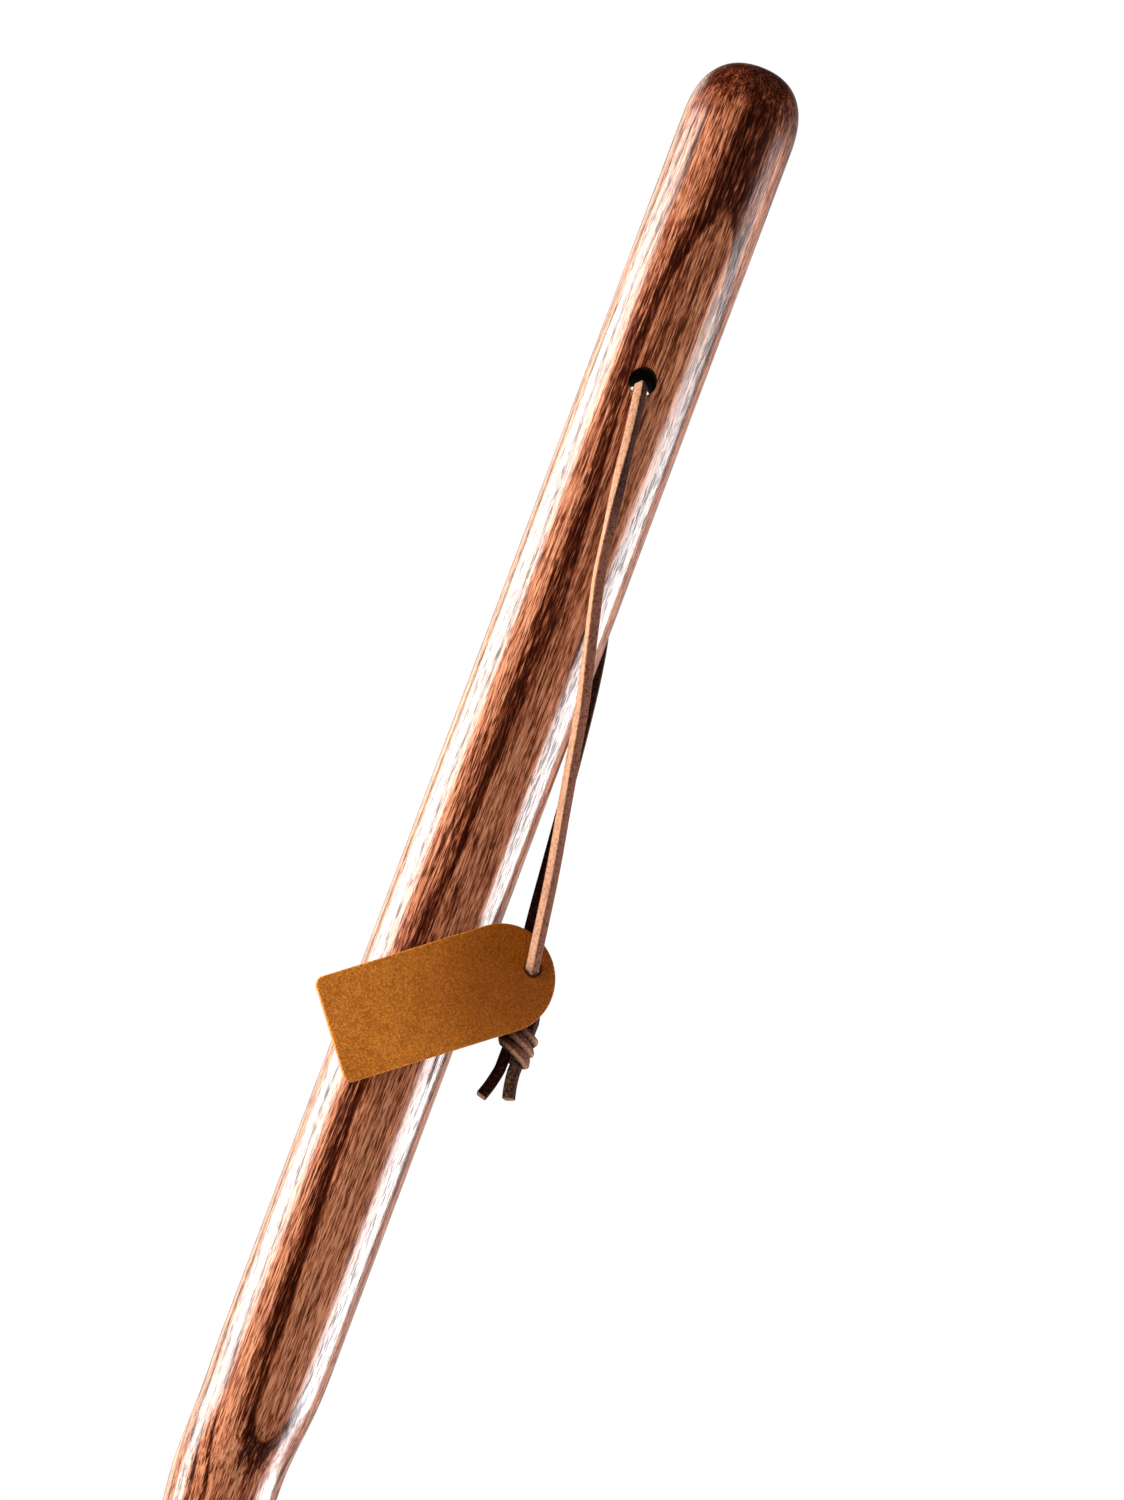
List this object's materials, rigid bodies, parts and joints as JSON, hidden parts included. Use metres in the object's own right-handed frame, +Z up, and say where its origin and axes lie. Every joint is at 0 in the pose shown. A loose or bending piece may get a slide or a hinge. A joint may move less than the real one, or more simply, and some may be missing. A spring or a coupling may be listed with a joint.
{
  "type": "hiking staff",
  "caption": "Hiking staff: glossy oak shaft with a carved helical twist, domed handle, leather wrist lace with a hang tag, and a pull-off rubber tip.",
  "frame": {"origin": "centre of the sole, on the staff's axis, at floor level", "axes": "+Z up the staff from the sole to the crown, -Y the front that shows the tag, +X the side on which the lace hangs"},
  "size_m": [0.0656, 0.046, 1.397],
  "materials": {
    "oak": "red-brown stained oak under a gloss clear coat",
    "rubber": "satin brown moulded rubber",
    "steel": "plain stamped steel",
    "lace": "square-cut tan leather lace with dark cut sides",
    "tag": "grained cognac leather"
  },
  "bodies": {
    "staff": {"shaft": "oak"},
    "tip": {"rubber_tip": "rubber", "tip_washer": "steel"},
    "lanyard": {"lace_front": "lace", "lace_back": "lace", "lace_knot": "lace", "lace_tail_front": "lace", "lace_tail_back": "lace"},
    "tag": {"leather_tag": "tag"}
  },
  "joints": [
    {"name": "tip_pull", "type": "slide", "parent": "staff", "child": "tip", "axis": [0, 0, -1], "range_m": [0, 0.03]},
    {"name": "lanyard_swing", "type": "hinge", "parent": "staff", "child": "lanyard", "pos_m": [0, 0, 1.296], "axis": [0, -1, 0], "range_deg": [0, 150]},
    {"name": "tag_swing", "type": "hinge", "parent": "lanyard", "child": "tag", "pos_m": [0.0296, -0.01347, 1.126], "axis": [0.1736, -0.9848, 0], "range_deg": [-40, 100]}
  ]
}
